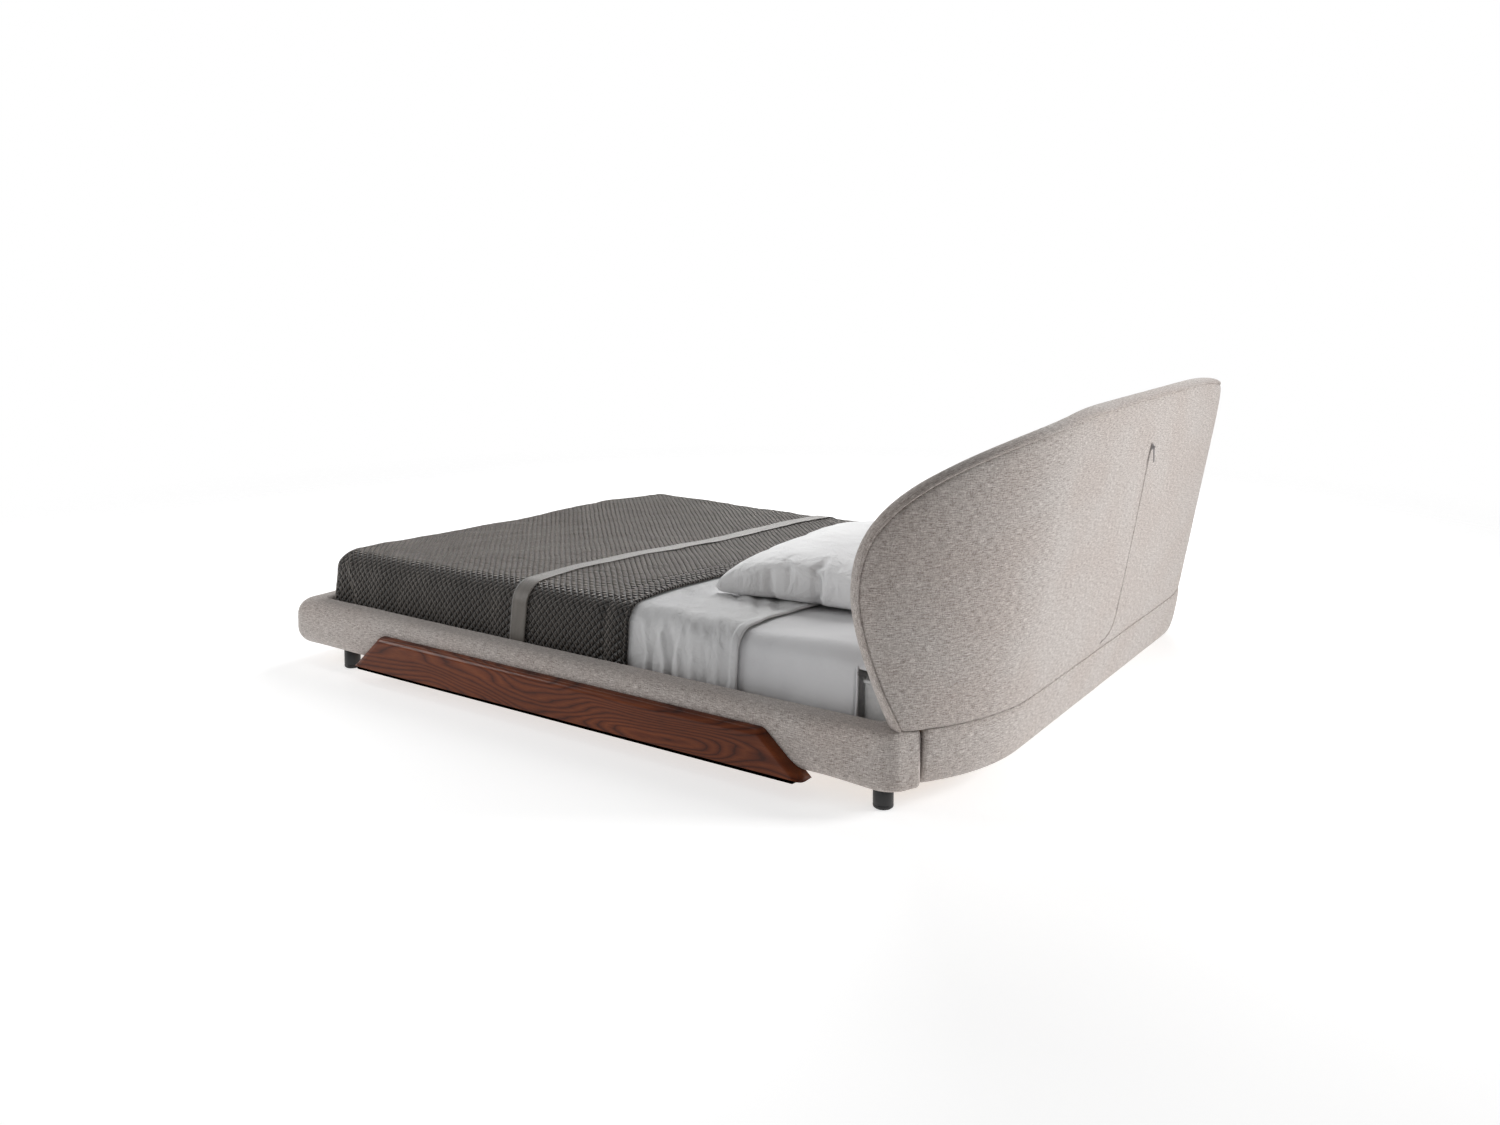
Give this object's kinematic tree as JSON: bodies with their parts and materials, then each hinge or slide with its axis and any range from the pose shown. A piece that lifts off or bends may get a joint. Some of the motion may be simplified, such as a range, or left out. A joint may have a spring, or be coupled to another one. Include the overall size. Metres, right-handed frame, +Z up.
{
  "type": "sleigh bed",
  "caption": "Low upholstered platform bed with a raked, curved, winged headboard, walnut side trims, short round legs, mattress, bedding and pillows.",
  "frame": {"origin": "centre of the whole bed's bounding box in plan, on the floor", "axes": "+Y from the foot end to the headboard, +X to the right side when lying with the head at +Y seen from above, +Z up"},
  "size_m": [2.1444, 2.3852, 0.892],
  "materials": {
    "upholstery": "light grey-beige melange weave",
    "plywood": "raw plywood",
    "beech": "sanded beech",
    "walnut": "dark walnut, semi-gloss lacquer",
    "steel": "zinc plated",
    "leg_black": "satin black",
    "coverlet": "dark brown-grey quilted",
    "ribbon": "taupe satin band",
    "linen": "white cotton",
    "ticking": "knitted mattress cover",
    "zip_tape": "fine coil zip",
    "zip_metal": "dark burnished"
  },
  "bodies": {
    "bed": {"centre_beam": "beech", "centre_leg_foot": "leg_black", "centre_leg_head": "leg_black", "corner_block_foot_left": "beech", "corner_block_foot_right": "beech", "corner_block_head_left": "plywood", "corner_block_head_right": "plywood", "coverlet": "coverlet", "coverlet_band": "ribbon", "fitted_sheet": "linen", "foot_rail_core": "plywood", "head_cross_rail": "plywood", "headboard_back_cover": "upholstery", "headboard_base_core": "plywood", "headboard_base_cover": "upholstery", "headboard_bolt_left_inner": "steel", "headboard_bolt_left_outer": "steel", "headboard_bolt_right_inner": "steel", "headboard_bolt_right_outer": "steel", "headboard_border": "upholstery", "headboard_core": "plywood", "headboard_front_pad": "upholstery", "headboard_plate_left": "steel", "headboard_plate_right": "steel", "leg_front_left": "leg_black", "leg_front_right": "leg_black", "leg_head_left": "leg_black", "leg_head_right": "leg_black", "leg_stud_front_left": "steel", "leg_stud_front_right": "steel", "leg_stud_head_left": "steel", "leg_stud_head_right": "steel", "mattress": "ticking", "pillow_left": "linen", "pillow_right": "linen", "rail_upholstery": "upholstery", "side_rail_core_left": "plywood", "side_rail_core_right": "plywood", "slat_01": "beech", "slat_02": "beech", "slat_03": "beech", "slat_04": "beech", "slat_05": "beech", "slat_06": "beech", "slat_07": "beech", "slat_08": "beech", "slat_09": "beech", "slat_10": "beech", "slat_11": "beech", "slat_ledge_left": "beech", "slat_ledge_right": "beech", "top_sheet": "linen", "wood_trim_left": "walnut", "wood_trim_right": "walnut", "zip_teeth": "zip_tape"},
    "zip_slider": {"zip_slider": "zip_metal"},
    "zip_pull": {"zip_pull": "zip_metal"}
  },
  "joints": [
    {"name": "zip_slide", "type": "slide", "parent": "bed", "child": "zip_slider", "axis": [0, 0.1838, 0.983], "range_m": [-0.43, 0]},
    {"name": "pull_hinge", "type": "hinge", "parent": "zip_slider", "child": "zip_pull", "pos_m": [-0.009, 1.17509, 0.74066], "axis": [1, 0, 0], "range_deg": [-14, 150]}
  ]
}
